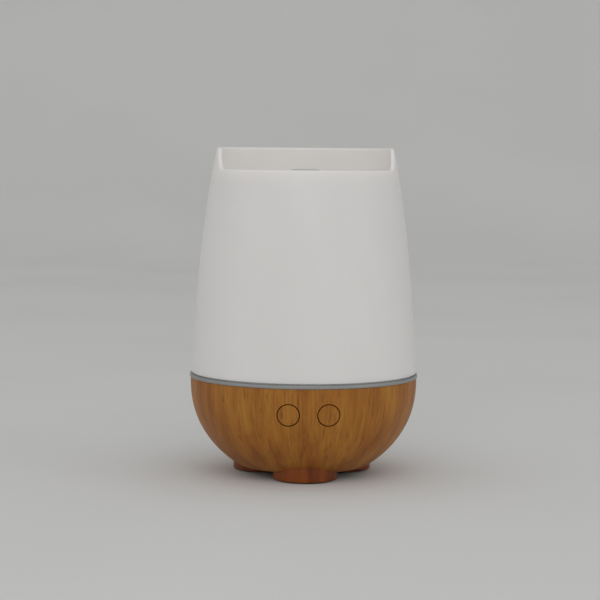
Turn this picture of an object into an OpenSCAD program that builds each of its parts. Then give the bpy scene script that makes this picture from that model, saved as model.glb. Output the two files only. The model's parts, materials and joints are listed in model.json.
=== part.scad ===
// Cool mist humidifier: a wood-look bowl on three disc feet holds a water tank,
// an ultrasonic disc, a small fan and the electronics. An inner lid with a spout
// stands on the tank, and a tapered cover with a mist nozzle stands over it.
// Millimetres, +Z up, front towards -Y, origin on the floor under the centre.

/* [Overall] */
// Height from the floor to the cover's top rim
total_h = 157; // [154:1:162]
// Outer diameter of the trim ring, the widest part
ring_d = 109.9; // [109.5:0.1:111]
// Height of the trim ring's underside
ring_z = 47; // [46.8:0.1:47.4]
// Height of the trim ring's outer band
ring_h = 1.6; // [1.4:0.1:1.8]

/* [Bowl] */
// Radius of the bowl's flat underside
bowl_flat_r = 31; // [30.5:0.1:31.5]
// Height of the bowl's flat underside
bowl_flat_z = 4.5; // [4.4:0.1:4.7]
// Outer radius of the bowl's top edge
bowl_top_r = 54.55; // [54.3:0.05:54.8]
// Wall of the bowl
bowl_wall = 2.4; // [2.2:0.1:2.6]

/* [Cover] */
// Outer radius at the cover's lower edge
cover_r = 54.25; // [54:0.05:54.5]
// Even part of the cover's taper, from bottom to top
cover_taper = 6.4; // [5.5:0.1:7]
// Part of the taper that grows towards the top
cover_curve = 5.5; // [5:0.1:6]
// Wall of the cover
cover_wall = 2.2; // [1.8:0.1:2.4]
// How far the front lip lies under the top rim
lip_drop = 10.35; // [8:0.05:11]
// Height of the recessed top's flat middle
dish_z = 141.8; // [140:0.1:142]

/* [Buttons] */
// Diameter of each button
button_d = 10; // [9.6:0.1:10.2]
// Height of the buttons' centres
button_z = 34.75; // [34:0.05:35]
// Distance between the two buttons' centres
button_pitch = 18.6; // [18:0.1:19]
// Travel of a button
button_travel = 0.6; // [0.4:0.1:0.6]

/* [Feet] */
// Radius of each disc foot
foot_r = 15.3; // [15:0.1:15.6]
// Distance of each foot's centre from the middle
foot_at = 21; // [20.8:0.1:21.2]

/* [Tank] */
// Outer radius of the tank's lower cup
cup_r = 40; // [39.5:0.1:40.2]
// Height of the tank floor's upper face
tank_floor_z = 27; // [26.8:0.1:27.2]
// Height of the tank's upper rim
tank_rim_z = 63; // [60:0.5:64]

/* [Hidden] */
$fn = 96;

eps = 0.01;
gap = 0.3;                       // between parts that slide past each other
seat_h = 0.6;                    // shadow gap between the trim ring and the cover
ring_r = ring_d / 2;
ring_top = ring_z + ring_h;

// deck and upper wall of the tank
deck_z = ring_z - 2;
deck_r = bowl_top_r - bowl_wall - 0.25;
tank_wall = 2;
collar_r = 46.5;                 // outer radius of the tank's upper wall
seal_h = 0.6;
ledge_z = deck_z - seal_h;
max_level_z = 56;

// cover
seat_z = ring_top + seat_h;      // the raised seat that the cover stands on
lip_z = total_h - lip_drop;
dish_edge_z = dish_z + 1.8;
dish_t = 2;
dish_flat_r = 12;
outlet_r = 8.2;

// rim cut: level at the front, then an S-curve up to the full height
cut_front_y = -19;
cut_back_y = -5;

// nozzle
nozzle_r = 7.9;
nozzle_bore_r = 5.4;
nozzle_tip_r = 6.5;
nozzle_top_z = lip_z + 0.15;
bell_z = 98;
bell_r = 14;

// inner lid
spout_r = 12.4;
spout_bore_r = 10.6;
spout_top_z = 106;
lid_t = 1.8;
lid_flange_r = 47.6;
lid_dome_h = 23;

// feet, plate and screws
foot_bottom_z = 0.6;
pad_r = 11;
pad_h = 1.2;
foot_angles = [-90, 150, 30];    // front, left, right
plate_r = 29;
plate_lip_h = 1.2;
plate_z = bowl_flat_z;
plate_top = bowl_flat_z + 2.2;
plate_body_r = 25.8;
post_r = 3.2;
screw_bore_r = 1.25;
screw_hole_r = 1.7;

// buttons
flange_y = -48.65;               // front face of the button's inner flange
flange_t = 1;
counterbore_y = -48.8;
plunger_r = 1.45;
plunger_tip_y = flange_y + flange_t + 1.6;
switch_front_y = -46.9;
switch_t = 2.3;
board_front_y = switch_front_y + switch_t;
board_t = 1.2;
button_board_w = 34.8;
button_board_low = 28.4;
button_board_top = 41;

// fan
fan_y = 14;
fan_w = 25;
fan_h = 10;
fan_z = bowl_flat_z + bowl_wall; // its corners stand on the bowl's floor
fan_throat_r = 11.6;

// mist disc
disc_z = 22.4;
boss_low = 20.4;
boss_r = 16.8;
boss_bore_r = 12.3;
piezo_screw_at = 14.6;
piezo_plate_t = 1.5;

// boards
main_z = 12;
main_t = 1.6;
main_top = main_z + main_t;
led_board_z = 41.6;
socket_x = 15;
socket_floor = main_top + 1.2;   // inside a wire socket
wire_r = 0.6;

// power inlet
jack_z = 19;
jack_face_y = 41;
jack_len = 11;
jack_bore_r = 3;
inlet_r = 5.2;

// air duct, on the left side of the tank
duct_at = -32;
duct_w = 9;
duct_l = 16;
duct_wall = 1.5;
duct_top = 60.5;

function smooth(t) = t * t * (3 - 2 * t);
function cover_at(z) =
    let (t = (z - 49) / (total_h - 49))
    cover_r - cover_taper * t - cover_curve * pow(t, 3);
// bowl outline from its top edge to its flat, moved inwards by inset
function bowl_outline(inset, n = 24) = [
    for (i = [0:n])
        let (a = 90 * i / n, rf = bowl_flat_r - inset * 0.45)
        [
            rf + (bowl_top_r - inset - rf) * pow(cos(a), 1.76),
            ring_z - (ring_z - bowl_flat_z - inset) * pow(sin(a), 0.83)
        ]
];

module at_feet() {
    for (a = foot_angles) rotate([0, 0, a]) translate([foot_at, 0, 0]) children();
}

module ring(r_out, r_in, z0, z1) {
    translate([0, 0, z0]) difference() {
        cylinder(r = r_out, h = z1 - z0);
        translate([0, 0, -1]) cylinder(r = r_in, h = z1 - z0 + 2);
    }
}

// a rod along Y from y0 to y1, at x, z
module rod_y(x, z, r, y0, y1) {
    translate([x, y0, z]) rotate([-90, 0, 0]) cylinder(r = r, h = y1 - y0);
}

// a block between two corners
module block(low, high) {
    translate(low) cube(high - low);
}

// the bowl as a filled solid, moved inwards by inset and cut open above at z = top
module bowl_solid(inset, top = ring_z) {
    line = bowl_outline(inset);
    rotate_extrude() polygon(concat(
        [[0, top]],
        top > ring_z ? [[bowl_top_r - inset, top]] : [],
        line,
        [[0, bowl_flat_z + inset]]
    ));
}

// ---- cover -------------------------------------------------------------

module rim_cut() {
    n = 12;
    curve = [
        for (i = [0:n])
            [cut_front_y + (cut_back_y - cut_front_y) * i / n, lip_z + lip_drop * smooth(i / n)]
    ];
    rotate([90, 0, 90]) linear_extrude(height = 3 * cover_r, center = true)
        polygon(concat([[-2 * cover_r, lip_z]], curve,
                       [[cut_back_y, total_h + 5], [-2 * cover_r, total_h + 5]]));
}

module outer_cover() {
    n = 24;
    wall_out = [
        for (i = [0:n]) let (z = seat_z + (total_h - seat_z) * i / n) [cover_at(z), z]
    ];
    n_up = 4;
    above_dish = [
        for (i = [0:n_up])
            let (z = total_h + (dish_edge_z - total_h) * i / n_up) [cover_at(z) - cover_wall, z]
    ];
    below_z = dish_edge_z - dish_t;
    below_dish = [
        for (i = [0:n]) let (z = below_z + (seat_z - below_z) * i / n) [cover_at(z) - cover_wall, z]
    ];
    color("whitesmoke") difference() {
        rotate_extrude() polygon(concat(
            wall_out, above_dish,
            [[dish_flat_r, dish_z], [outlet_r, dish_z],
             [outlet_r, dish_z - dish_t], [dish_flat_r, dish_z - dish_t]],
            below_dish
        ));
        rim_cut();
    }
}

module mist_nozzle() {
    flange_z = dish_z + 0.02;
    color("gray") rotate_extrude() polygon([
        [nozzle_bore_r, nozzle_top_z], [nozzle_tip_r, nozzle_top_z],
        [nozzle_r, flange_z + 1.6], [11.5, flange_z + 1.2], [11.5, flange_z],
        [nozzle_r, flange_z], [nozzle_r, bell_z + 16], [bell_r + 1.4, bell_z + 8],
        [bell_r + 1.4, bell_z], [bell_r, bell_z], [bell_r, bell_z + 8],
        [nozzle_bore_r, bell_z + 17]
    ]);
}

// ---- inner lid ---------------------------------------------------------

module inner_lid() {
    n = 14;
    foot_z = tank_rim_z + lid_t;
    dome_out = [
        for (i = [0:n]) let (a = 90 * i / n)
            [spout_r + (lid_flange_r - 1.6 - spout_r) * cos(a), foot_z + lid_dome_h * sin(a)]
    ];
    skirt_r = collar_r - tank_wall - gap;
    dome_in = [
        for (i = [n:-1:0]) let (a = 90 * i / n)
            [spout_r + (skirt_r - 1.8 - spout_r) * cos(a),
             foot_z - lid_t + (lid_dome_h - 0.2) * sin(a)]
    ];
    color("white") rotate_extrude() polygon(concat(
        [[lid_flange_r, tank_rim_z], [lid_flange_r, foot_z]],
        dome_out,
        [[spout_r, spout_top_z], [spout_bore_r, spout_top_z],
         [spout_bore_r, foot_z + 12], [spout_r, foot_z + 12]],
        dome_in,
        [[skirt_r - 1.8, tank_rim_z - 4.5], [skirt_r, tank_rim_z - 4.5], [skirt_r, tank_rim_z]]
    ));
}

// ---- tank --------------------------------------------------------------

module duct_column(grow, z0, z1) {
    block([duct_at - duct_w / 2 - grow, -duct_l / 2 - grow, z0],
          [duct_at + duct_w / 2 + grow, duct_l / 2 + grow, z1]);
}

module water_tank() {
    floor_low = tank_floor_z - tank_wall;
    color("gainsboro") difference() {
        union() {
            rotate_extrude() polygon([
                [0, floor_low], [cup_r, floor_low], [cup_r, deck_z], [deck_r, deck_z],
                [deck_r, ring_z], [collar_r, ring_z], [collar_r, tank_rim_z],
                [collar_r - tank_wall, tank_rim_z],
                [collar_r - tank_wall, max_level_z + 0.3],
                [collar_r - tank_wall - 0.4, max_level_z],
                [collar_r - tank_wall, max_level_z - 0.3],
                [collar_r - tank_wall, ring_z], [cup_r - tank_wall, ring_z],
                [cup_r - tank_wall, tank_floor_z + 2], [cup_r - tank_wall - 2, tank_floor_z],
                [0, tank_floor_z]
            ]);
            intersection() {
                duct_column(0, floor_low + eps, duct_top);
                cylinder(r = cup_r - 1, h = 2 * tank_rim_z);
            }
            at_feet() translate([0, 0, plate_top + eps])
                cylinder(r = post_r, h = tank_floor_z - plate_top - 1);
            ring(boss_r, boss_bore_r, boss_low, floor_low + eps);
        }
        duct_column(-duct_wall, floor_low - 1, duct_top + 1);
        // seat of the mist disc, dished towards its opening
        translate([0, 0, floor_low - 1]) cylinder(r = 8, h = 5);
        translate([0, 0, tank_floor_z - 1.2]) cylinder(r1 = 8, r2 = 12, h = 1.2 + eps);
        at_feet() translate([0, 0, 5]) cylinder(r = screw_bore_r, h = 13);
        for (a = [30, 150, 270]) rotate([0, 0, a]) translate([piezo_screw_at, 0, boss_low - 1])
            cylinder(r = 1, h = 4.6);
    }
}

module tank_seal() {
    color("dimgray") ring(deck_r - 0.3, 49.9, ledge_z, deck_z);
}

// ---- ring and bowl -----------------------------------------------------

module trim_ring() {
    bevel = 0.35;
    spigot_r = cover_r - cover_wall - 0.45;
    color("silver") rotate_extrude() polygon([
        [50.2, ring_z], [ring_r - bevel, ring_z], [ring_r, ring_z + bevel],
        [ring_r, ring_top - bevel], [ring_r - bevel, ring_top], [cover_r - 0.75, ring_top],
        [cover_r - 0.75, seat_z], [spigot_r, seat_z], [spigot_r, seat_z + 1.9], [50.2, seat_z + 1.9]
    ]);
}

module base_bowl() {
    half = button_board_w / 2;
    color("peru") difference() {
        union() {
            difference() {
                bowl_solid(0);
                bowl_solid(bowl_wall, ring_z + 5);
            }
            // what stands on the wall inside, trimmed to the bowl's outline
            intersection() {
                union() {
                    ring(deck_r + 1.5, 49.7, ledge_z - 1.4, ledge_z);
                    for (s = [-1, 1]) block(
                        [s * (half + 0.7) - 1.5, -50, button_board_low - 0.4],
                        [s * (half + 0.7) + 1.5, -42.6, button_board_top - 0.4]);
                    for (a = [45, 135, 225, 315]) rotate([0, 0, a])
                        block([45.5, -3, led_board_z - 2], [52, 3, led_board_z]);
                    rod_y(0, jack_z, inlet_r + 1.4, jack_face_y + 0.1, bowl_top_r);
                }
                bowl_solid(0.8);
            }
        }
        // opening and recess for the bottom plate
        translate([0, 0, -1]) cylinder(r = plate_body_r + 0.2, h = 20);
        translate([0, 0, bowl_flat_z - 1]) cylinder(r = plate_r + 0.2, h = 1 + plate_lip_h);
        for (s = [-1, 1]) {
            rod_y(s * button_pitch / 2, button_z, button_d / 2 + 0.4, -bowl_top_r - 1, -40);
            rod_y(s * button_pitch / 2, button_z, button_d / 2 + 1.8, counterbore_y, -40);
            // groove that holds the button board's edge
            block([s * (half - 1.4) - 1.6, board_front_y - 0.15, button_board_low],
                  [s * (half - 1.4) + 1.6, board_front_y + board_t + 0.15, button_board_top + 1]);
        }
        rod_y(0, jack_z, inlet_r, 36, bowl_top_r + 1);
        block([-4.7, 30, jack_z - 5.2], [4.7, jack_face_y + 0.1, jack_z + 5.2]);
    }
}

// ---- bottom ------------------------------------------------------------

// a slot along X from x0 to x1 with round ends
module slot(x0, x1, w) {
    for (x = [x0 + w / 2, x1 - w / 2]) translate([x, 0, 0]) cylinder(d = w, h = 10);
    translate([x0 + w / 2, -w / 2, 0]) cube([x1 - x0 - w, w, 10]);
}

module bottom_plate() {
    color("saddlebrown") difference() {
        union() {
            translate([0, 0, plate_z]) cylinder(r = plate_r, h = plate_lip_h - 0.05);
            translate([0, 0, plate_z]) cylinder(r = plate_body_r, h = plate_top - plate_z);
            for (x = [-12, 12]) translate([x, -16, plate_z])
                cylinder(r = 2.4, h = main_z - plate_z);
        }
        at_feet() cylinder(r = screw_hole_r, h = 20);
        for (a = [90, 210, 330]) rotate([0, 0, a]) {
            slot(8.5, 24.4, 2);
            for (s = [-1, 1]) translate([0, 3.9 * s, 0]) slot(18.4, 24, 2);
        }
        for (x = [-12, 12]) translate([x, -16, plate_top + 0.6]) cylinder(r = 0.9, h = 10);
    }
}

module foot(angle) {
    bevel = 0.5;
    color("sienna") difference() {
        rotate([0, 0, angle]) translate([foot_at, 0, 0]) rotate_extrude() polygon([
            [0, foot_bottom_z], [foot_r - bevel, foot_bottom_z],
            [foot_r, foot_bottom_z + bevel], [foot_r, 10], [0, 10]
        ]);
        bowl_solid(-0.08);
        rotate([0, 0, angle]) translate([foot_at, 0, 0]) {
            translate([0, 0, -1]) cylinder(r = pad_r + 0.2, h = 1 + pad_h);
            translate([0, 0, -1]) cylinder(r = screw_bore_r + 2.1, h = 4.3);
            translate([0, 0, -1]) cylinder(r = screw_hole_r, h = 20);
        }
    }
}

module foot_front() { foot(foot_angles[0]); }
module foot_left() { foot(foot_angles[1]); }
module foot_right() { foot(foot_angles[2]); }

module foot_pads() {
    color("dimgray") at_feet() rotate_extrude() polygon([
        [0, 0], [pad_r - 0.4, 0], [pad_r, 0.4], [pad_r, pad_h], [0, pad_h]
    ]);
}

module case_screws() {
    head_z = pad_h + 0.1;
    color("silver") at_feet() difference() {
        union() {
            translate([0, 0, head_z]) cylinder(r = 2.8, h = 2);
            translate([0, 0, head_z]) cylinder(r = screw_bore_r - 0.03, h = 15.5);
        }
        for (a = [0, 90]) rotate([0, 0, a]) block([-2, -0.35, head_z - 1], [2, 0.35, head_z + 0.9]);
    }
}

// ---- buttons -----------------------------------------------------------

module button(x) {
    color("peru") {
        intersection() {
            rod_y(x, button_z, button_d / 2, -bowl_top_r - 1, flange_y + eps);
            bowl_solid(0.12);
        }
        rod_y(x, button_z, button_d / 2 + 1.2, flange_y, flange_y + flange_t);
    }
}

module button_left() { button(-button_pitch / 2); }
module button_right() { button(button_pitch / 2); }

module plunger(x) {
    color("black") rod_y(x, button_z, plunger_r, flange_y + flange_t, plunger_tip_y);
}

module plunger_left() { plunger(-button_pitch / 2); }
module plunger_right() { plunger(button_pitch / 2); }

module tact_switches() {
    color("gray") for (s = [-1, 1]) difference() {
        block([s * button_pitch / 2 - 3, switch_front_y, button_z - 3],
              [s * button_pitch / 2 + 3, board_front_y, button_z + 3]);
        // well for the plunger, deep enough for its travel
        rod_y(s * button_pitch / 2, button_z, plunger_r + 0.1, switch_front_y - 1,
              plunger_tip_y + button_travel + 0.25);
    }
}

module button_board() {
    color("green") block([-button_board_w / 2, board_front_y, button_board_low + 0.1],
                         [button_board_w / 2, board_front_y + board_t, button_board_top]);
}

// ---- electronics -------------------------------------------------------

module main_board() {
    color("green") difference() {
        block([-19, -30, main_z], [19, -9, main_top]);
        translate([0, -foot_at, main_z - 1]) cylinder(r = post_r + 0.7, h = 4);
        for (x = [-12, 12]) translate([x, -16, main_z - 1]) cylinder(r = 1.2, h = 4);
    }
}

module board_screws() {
    color("silver") for (x = [-12, 12]) translate([x, -16, 0]) {
        translate([0, 0, main_top]) cylinder(r = 1.8, h = 1.2);
        translate([0, 0, plate_top + 1]) cylinder(r = 0.87, h = main_top - plate_top - 1 + eps);
    }
}

module drive_coil() {
    color("sienna") translate([-12.5, -25, main_top]) rotate_extrude() polygon([
        [0, 0], [4, 0], [4, 1], [3.2, 1.5], [3.2, 6], [4, 6.5], [4, 7.5], [0, 7.5]
    ]);
}

module capacitors() {
    color("midnightblue") {
        translate([8.2, -26, main_top]) cylinder(r = 3.2, h = 9);
        translate([15, -25.5, main_top]) cylinder(r = 2.5, h = 7);
    }
}

module heatsink() {
    color("silver") {
        block([-5, -13.5, main_top], [5, -10, main_top + 1.2]);
        for (i = [0:4]) block([-5 + 2.2 * i, -13.5, main_top + 1.2 - eps],
                              [-3.8 + 2.2 * i, -10, main_top + 3.8]);
    }
}

module driver_chips() {
    color("black") {
        block([-6.5, -29, main_top], [-1.5, -26, main_top + 1.5]);
        block([-17.5, -20.3, main_top], [-14.5, -16.3, main_top + 1.2]);
    }
}

module wire_sockets() {
    color("ivory") for (x = [-socket_x, socket_x]) difference() {
        block([x - 2.5, -14, main_top], [x + 2.5, -9.5, main_top + 3.5]);
        block([x - 1.7, -13.2, socket_floor], [x + 1.7, -10.3, main_top + 5]);
    }
}

module led_board() {
    color("green") ring(48.4, 41.5, led_board_z, led_board_z + 1.2);
}

module leds() {
    color("white") for (i = [0:7]) rotate([0, 0, 45 * i + 22.5])
        block([43.2, -1.4, led_board_z + 1.2], [46.8, 1.4, led_board_z + 2.8]);
}

module piezo_disc() {
    color("gold") translate([0, 0, disc_z]) cylinder(r = 10, h = 1.2);
}

module piezo_gasket() {
    color("darkslategray") difference() {
        ring(boss_bore_r - 0.1, 7.6, boss_low, tank_floor_z - tank_wall);
        translate([0, 0, disc_z]) cylinder(r = 10, h = 1.2);
    }
}

module piezo_plate() {
    low = boss_low - piezo_plate_t;
    color("silver") difference() {
        ring(boss_r, 5, low, boss_low);
        for (a = [30, 150, 270]) rotate([0, 0, a]) translate([piezo_screw_at, 0, low - 1])
            cylinder(r = 1.15, h = 4);
    }
}

module piezo_screws() {
    low = boss_low - piezo_plate_t;
    color("silver") for (a = [30, 150, 270]) rotate([0, 0, a]) translate([piezo_screw_at, 0, 0]) {
        translate([0, 0, low - 1.2]) cylinder(r = 1.8, h = 1.2);
        translate([0, 0, low - eps]) cylinder(r = 0.97, h = 4.6);
    }
}

// ---- fan ---------------------------------------------------------------

module fan_frame() {
    half = fan_w / 2;
    color("black") translate([0, fan_y, fan_z]) difference() {
        union() {
            difference() {
                block([-half, -half, 0], [half, half, fan_h]);
                translate([0, 0, -1]) cylinder(r = fan_throat_r, h = fan_h + 2);
            }
            cylinder(r = 5.8, h = 1.4);
            cylinder(r = 2, h = 6);
            for (a = [45, 165, 285]) rotate([0, 0, a]) block([4, -0.8, 0], [12.4, 0.8, 1.4]);
        }
        translate([0, 0, 0.6]) cylinder(r = 0.8, h = fan_h);
        for (x = [-1, 1], y = [-1, 1]) translate([10.6 * x, 10.6 * y, -1])
            cylinder(r = 1.1, h = fan_h + 2);
    }
}

module fan_rotor() {
    hub_r = 5.6;
    color("dimgray") translate([0, fan_y, fan_z]) {
        difference() {
            translate([0, 0, 1.9]) cylinder(r = hub_r, h = 7.5);
            translate([0, 0, 1]) cylinder(r = 4.4, h = 7.2);
            translate([0, 0, 1]) cylinder(r = 0.76, h = 10);
        }
        intersection() {
            ring(fan_throat_r - 0.5, hub_r - 0.4, 2, 9.2);
            for (i = [0:6]) rotate([0, 0, i * 360 / 7]) translate([8.4, 0, 5.6])
                rotate([38, 0, 0]) cube([6.4, 0.8, 7.6], center = true);
        }
    }
}

module fan_shaft() {
    color("silver") translate([0, fan_y, fan_z + 1]) cylinder(r = 0.75, h = 8.2);
}

// ---- power inlet and wires ---------------------------------------------

module dc_jack() {
    color("black") difference() {
        block([-4.5, jack_face_y - jack_len, jack_z - 5], [4.5, jack_face_y, jack_z + 5]);
        rod_y(0, jack_z, jack_bore_r, jack_face_y - 9.2, jack_face_y + 1);
    }
}

module dc_pin() {
    color("silver") rod_y(0, jack_z, 1, jack_face_y - 9.2, jack_face_y - 1);
}

// corners of a route cut off again and again, which rounds them
function rounded(p, times) = times == 0 ? p : rounded(concat(
    [p[0]],
    [for (i = [0:len(p) - 2], t = [0.25, 0.75]) p[i] * (1 - t) + p[i + 1] * t],
    [p[len(p) - 1]]
), times - 1);
function unit(v) = v / norm(v);

// a round wire swept along a route, with an eight-sided section
module wire(route, r) {
    p = rounded(route, 2);
    last = len(p) - 1;
    sides = 8;
    aside = unit([0.25, 0.9, -0.35]);
    corners = [
        for (i = [0:last])
            let (t = unit(p[min(i + 1, last)] - p[max(i - 1, 0)]),
                 u = unit(cross(t, aside)), v = cross(t, u))
            for (k = [0:sides - 1])
                p[i] + r * (cos(360 * k / sides) * u + sin(360 * k / sides) * v)
    ];
    walls = [
        for (i = [0:last - 1], k = [0:sides - 1])
            let (a = i * sides + k, b = i * sides + (k + 1) % sides)
            each [[a, a + sides, b + sides], [a, b + sides, b]]
    ];
    caps = [[for (k = [0:sides - 1]) k], [for (k = [sides - 1:-1:0]) last * sides + k]];
    polyhedron(corners, concat(walls, caps));
}

module wiring() {
    low = socket_floor + 0.05;
    wire_y = -11.7;
    near = socket_x - 0.9;       // the two wires of each socket
    far = socket_x + 0.9;
    board_y = board_front_y + board_t + 0.05;
    color("firebrick") {
        // to the power inlet
        wire([[far, wire_y, low], [far, wire_y, 19.5], [22, -6, 21], [26, 8, 20], [22, 27, jack_z],
              [12, 34, jack_z], [4.55, 34, jack_z]], wire_r);
        // to the fan
        wire([[near, wire_y, low], [near, wire_y, 19.5], [18.5, -7, 19.5], [18, 0, 14],
              [16, 4.5, 12], [fan_w / 2 + 0.05, 4.5, 12]], wire_r);
        // to the mist disc
        wire([[-near, wire_y, low], [-near, wire_y, 18], [-8, -8, 18], [0, 0, 18],
              [0, 0, disc_z - 0.05]], wire_r);
        // to the button board
        wire([[-far, wire_y, low], [-far, wire_y, 19.5], [-22, -14, 21], [-28, -30, 23],
              [-20, -40, 28], [-12, -40.5, 33], [-12, board_y, 33]], wire_r);
        // from there to the night-light ring
        wire([[6, board_y, 35], [6, -41.5, 35], [9, -41, 37], [16, -41, 38.5], [18, -41, 39.5],
              [18, -41, led_board_z - 0.05]], wire_r);
    }
}

outer_cover();
mist_nozzle();
inner_lid();
water_tank();
tank_seal();
trim_ring();
base_bowl();
bottom_plate();
foot_front();
foot_left();
foot_right();
foot_pads();
case_screws();
button_left();
button_right();
plunger_left();
plunger_right();
tact_switches();
button_board();
main_board();
board_screws();
drive_coil();
capacitors();
heatsink();
driver_chips();
wire_sockets();
led_board();
leds();
piezo_disc();
piezo_gasket();
piezo_plate();
piezo_screws();
fan_frame();
fan_rotor();
fan_shaft();
dc_jack();
dc_pin();
wiring();
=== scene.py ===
"""Looks of the cool mist humidifier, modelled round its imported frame, in metres."""
import json
from math import atan, cos, pi, radians, sin, sqrt

import bpy
from mathutils import Matrix, Vector


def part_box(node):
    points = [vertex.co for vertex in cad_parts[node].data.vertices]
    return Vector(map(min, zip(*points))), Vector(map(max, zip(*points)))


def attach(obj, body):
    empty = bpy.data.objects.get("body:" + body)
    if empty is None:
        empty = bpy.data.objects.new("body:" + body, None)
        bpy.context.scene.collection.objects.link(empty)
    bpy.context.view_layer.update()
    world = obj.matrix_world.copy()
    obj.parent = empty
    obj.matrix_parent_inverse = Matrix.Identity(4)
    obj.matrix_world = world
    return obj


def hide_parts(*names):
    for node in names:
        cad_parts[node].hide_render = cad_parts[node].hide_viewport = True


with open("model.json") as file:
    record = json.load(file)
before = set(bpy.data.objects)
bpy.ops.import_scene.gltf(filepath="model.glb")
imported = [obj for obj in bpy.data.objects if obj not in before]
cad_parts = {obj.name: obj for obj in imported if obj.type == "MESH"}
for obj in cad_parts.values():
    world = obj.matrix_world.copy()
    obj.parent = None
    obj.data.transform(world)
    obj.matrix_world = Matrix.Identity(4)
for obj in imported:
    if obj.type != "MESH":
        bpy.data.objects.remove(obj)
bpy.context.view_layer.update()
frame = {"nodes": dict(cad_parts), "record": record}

MM = 0.001

# ---- driving sizes, from the frame where it holds them -----------------------------------

COVER_LOW, COVER_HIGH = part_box("outer_cover")
RING_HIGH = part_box("trim_ring")[1]
BOWL_LOW, BOWL_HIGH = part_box("base_bowl")
LID_LOW, LID_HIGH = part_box("inner_lid")
TANK_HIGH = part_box("water_tank")[1]
NOZZLE_LOW, NOZZLE_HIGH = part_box("mist_nozzle")
PLATE_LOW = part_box("bottom_plate")[0]
PAD_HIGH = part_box("foot_pads")[1]
FOOT_LOW, FOOT_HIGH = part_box("foot_front")

TURN_STEPS = 192                       # columns round the large turned pieces
TOP_Z = COVER_HIGH.z
RING_Z = BOWL_HIGH.z                   # underside of the trim ring
SEAT_Z = COVER_LOW.z                   # where the cover stands on the ring
COVER_R = COVER_HIGH.x
COVER_WALL = 2.2 * MM
COVER_TAPER = 6.4 * MM
COVER_CURVE = 5.5 * MM
COVER_FROM_Z = 49 * MM
LIP_DROP = 10.35 * MM                  # how far the front lip lies under the top rim
LIP_FRONT_Y, LIP_BACK_Y = -19 * MM, -5 * MM
DISH_Z = 141.8 * MM                    # flat middle of the recessed top
DISH_EDGE_Z = DISH_Z + 1.8 * MM
DISH_T = 2 * MM

BOWL_TOP_R = BOWL_HIGH.x
BOWL_FLAT_R = 31 * MM
BOWL_FLAT_Z = BOWL_LOW.z
BOWL_WALL = 2.4 * MM

BUTTON_R = 4.9 * MM
BUTTON_GAP = 0.5 * MM
BUTTON_LOW, BUTTON_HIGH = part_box("button_right")
BUTTON_X = (BUTTON_LOW.x + BUTTON_HIGH.x) / 2
BUTTON_Z = (BUTTON_LOW.z + BUTTON_HIGH.z) / 2

FOOT_R = (FOOT_HIGH.x - FOOT_LOW.x) / 2
FOOT_AT = -(FOOT_HIGH.y + FOOT_LOW.y) / 2
FOOT_Z = FOOT_LOW.z

INLET_Z = sum(c.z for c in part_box("dc_jack")) / 2
INLET_R = 5.2 * MM

TANK_WALL_R = 46.5 * MM                # outer radius of the tank's upper wall
TANK_RIM_Z = TANK_HIGH.z
DUCT_AT, DUCT_W, DUCT_L, DUCT_WALL = -32 * MM, 9 * MM, 16 * MM, 1.5 * MM


# ---- modelling helpers ------------------------------------------------------------------

def edit(obj, select="DESELECT"):
    """Opens one object in edit mode, with everything in it selected or nothing."""
    if bpy.context.object and bpy.context.object.mode != "OBJECT":
        bpy.ops.object.mode_set(mode="OBJECT")
    bpy.ops.object.select_all(action="DESELECT")
    bpy.context.view_layer.objects.active = obj
    obj.select_set(True)
    bpy.ops.object.mode_set(mode="EDIT")
    bpy.ops.mesh.select_all(action=select)


def done(obj):
    bpy.ops.object.mode_set(mode="OBJECT")
    return obj


def soften(corners, closed=True, steps=4):
    """Corners given as (r, h) or (r, h, radius); each with a radius becomes a small arc."""
    outline = []
    count = len(corners)
    for i, corner in enumerate(corners):
        here = Vector(corner[:2])
        radius = corner[2] if len(corner) > 2 else 0
        if not radius or (not closed and i in (0, count - 1)):
            outline.append(here)
            continue
        before = Vector(corners[i - 1][:2]) - here
        after = Vector(corners[(i + 1) % count][:2]) - here
        reach = min(radius, 0.45 * before.length, 0.45 * after.length)
        start, end = here + before.normalized() * reach, here + after.normalized() * reach
        for k in range(steps + 1):
            t = k / steps
            outline.append(start * (1 - t) ** 2 + here * 2 * t * (1 - t) + end * t ** 2)
    return outline


def turned(name, outline, centre=(0, 0, 0), axis="Z", steps=TURN_STEPS, closed=True):
    """Extrudes a point along an outline of (radius, height) and spins it about an axis."""
    at = Vector(centre)

    def place(point):
        r, h = point
        return Vector((at.x + r, at.y, h)) if axis == "Z" else Vector((at.x + r, h, at.z))

    path = [place(p) for p in outline]
    if closed:
        path.append(path[0])
    bpy.ops.object.select_all(action="DESELECT")
    bpy.ops.mesh.primitive_plane_add(size=MM)
    obj = bpy.context.object
    obj.name = obj.data.name = name
    edit(obj, "SELECT")
    bpy.ops.mesh.merge(type="CENTER")
    bpy.ops.transform.translate(value=path[0])
    for a, b in zip(path, path[1:]):
        bpy.ops.mesh.extrude_region_move(TRANSFORM_OT_translate={"value": b - a})
    bpy.ops.mesh.select_all(action="SELECT")
    bpy.ops.mesh.spin(steps=steps, angle=2 * pi, center=at,
                      axis=(0, 0, 1) if axis == "Z" else (0, 1, 0))
    bpy.ops.mesh.select_all(action="SELECT")
    bpy.ops.mesh.remove_doubles(threshold=2e-6)
    bpy.ops.mesh.normals_make_consistent(inside=False)
    return done(obj)


def smooth(obj, degrees=35):
    bpy.ops.object.select_all(action="DESELECT")
    bpy.context.view_layer.objects.active = obj
    obj.select_set(True)
    bpy.ops.object.shade_smooth_by_angle(angle=radians(degrees))
    return obj


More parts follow.
